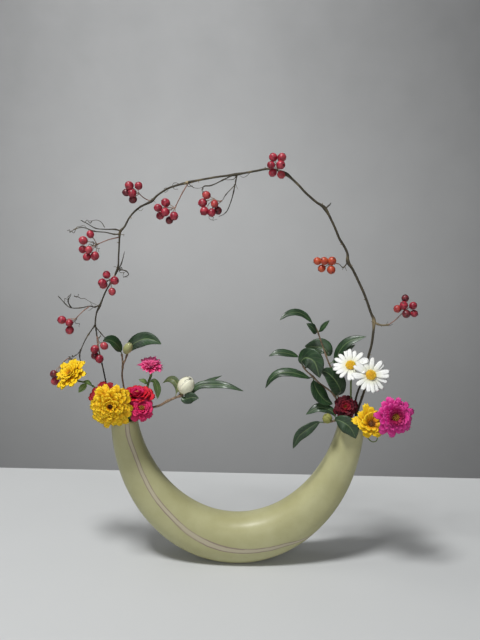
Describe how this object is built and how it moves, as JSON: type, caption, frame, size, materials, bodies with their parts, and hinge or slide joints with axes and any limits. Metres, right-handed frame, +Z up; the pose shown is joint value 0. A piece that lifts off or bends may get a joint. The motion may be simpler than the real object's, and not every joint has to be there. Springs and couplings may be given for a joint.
{
  "type": "ikebana arrangement",
  "caption": "Flower arrangement in a glazed crescent vase: a berried vine arches from mouth to mouth over zinnias, daisies and camellia sprigs.",
  "frame": {"origin": "centre of the vase's flat foot, on the surface it stands on", "axes": "+Z up; +X to the viewer's right, along the line between the two mouths; +Y to the back, away from the viewer"},
  "size_m": [0.4134, 0.0809, 0.4753],
  "materials": {
    "glaze": "pale yellow-green satin glaze with a thin mauve-grey double stripe",
    "vine_bark": "dark olive-brown matte vine bark with tan nodes",
    "berry_skin": "glossy crimson berry skin",
    "sprig_bark": "tan to pink-brown twig bark",
    "leaf_green": "dark green camellia leaf, glossy on its upper side",
    "stalk_green": "soft green flower stalk, slightly hairy",
    "bud_white": "ivory petal of a closed flower bud",
    "bud_green": "yellow-green bud scales",
    "petal_yellow": "deep yellow petals, brown-orange at the centre",
    "petal_lemon": "lemon yellow petals",
    "petal_dark_red": "dark red petals",
    "petal_crimson": "crimson petals",
    "petal_cerise": "cerise petals",
    "petal_pink": "pink to magenta petals",
    "petal_magenta": "magenta petals, darker at the centre",
    "petal_gold": "golden yellow petals with orange-brown streaks",
    "petal_maroon": "maroon petals",
    "daisy_white": "white petals round a golden disc"
  },
  "bodies": {
    "root": {"berries_left_1": "berry_skin", "berries_left_2": "berry_skin", "berries_left_3": "berry_skin", "berries_left_4": "berry_skin", "berries_left_5": "berry_skin", "berries_left_6": "berry_skin", "berries_left_7": "berry_skin", "berries_left_8": "berry_skin", "berries_middle_right": "berry_skin", "berries_right": "berry_skin", "berries_top": "berry_skin", "bud_branch_leaf_back": "leaf_green", "bud_branch_leaf_long": "leaf_green", "bud_branch_leaf_olive": "leaf_green", "bud_branch_leaf_under": "leaf_green", "bud_branch_stem": "sprig_bark", "cerise_zinnia": "petal_cerise", "crimson_zinnia_head": "petal_crimson", "crimson_zinnia_stalk": "stalk_green", "dark_red_zinnia": "petal_dark_red", "gold_zinnia_head": "petal_gold", "gold_zinnia_stalk": "stalk_green", "green_bud": "bud_green", "leaning_sprig_leaf_broad": "leaf_green", "leaning_sprig_leaf_glossy": "leaf_green", "leaning_sprig_leaf_long": "leaf_green", "leaning_sprig_leaf_low": "leaf_green", "leaning_sprig_leaf_twisted": "leaf_green", "leaning_sprig_stem": "sprig_bark", "left_daisy_head": "daisy_white", "left_daisy_stalk": "stalk_green", "low_sprig_leaf_front": "leaf_green", "low_sprig_leaf_lower": "leaf_green", "low_sprig_leaf_upper": "leaf_green", "low_sprig_stem": "sprig_bark", "magenta_zinnia_head": "petal_magenta", "magenta_zinnia_stalk": "stalk_green", "maroon_zinnia": "petal_maroon", "pink_zinnia_head": "petal_pink", "pink_zinnia_stalk": "stalk_green", "right_daisy_head": "daisy_white", "right_daisy_stalk": "stalk_green", "small_yellow_zinnia_head": "petal_lemon", "small_yellow_zinnia_stalk": "stalk_green", "tall_sprig_leaf_arched": "leaf_green", "tall_sprig_leaf_behind": "leaf_green", "tall_sprig_leaf_broad": "leaf_green", "tall_sprig_leaf_right": "leaf_green", "tall_sprig_stem": "sprig_bark", "upright_sprig_bud": "bud_green", "upright_sprig_leaf_left": "leaf_green", "upright_sprig_leaf_right": "leaf_green", "upright_sprig_stem": "sprig_bark", "vase": "glaze", "vine": "vine_bark", "white_bud": "bud_white", "yellow_zinnia_head": "petal_yellow", "yellow_zinnia_stalk": "stalk_green"}
  },
  "joints": []
}
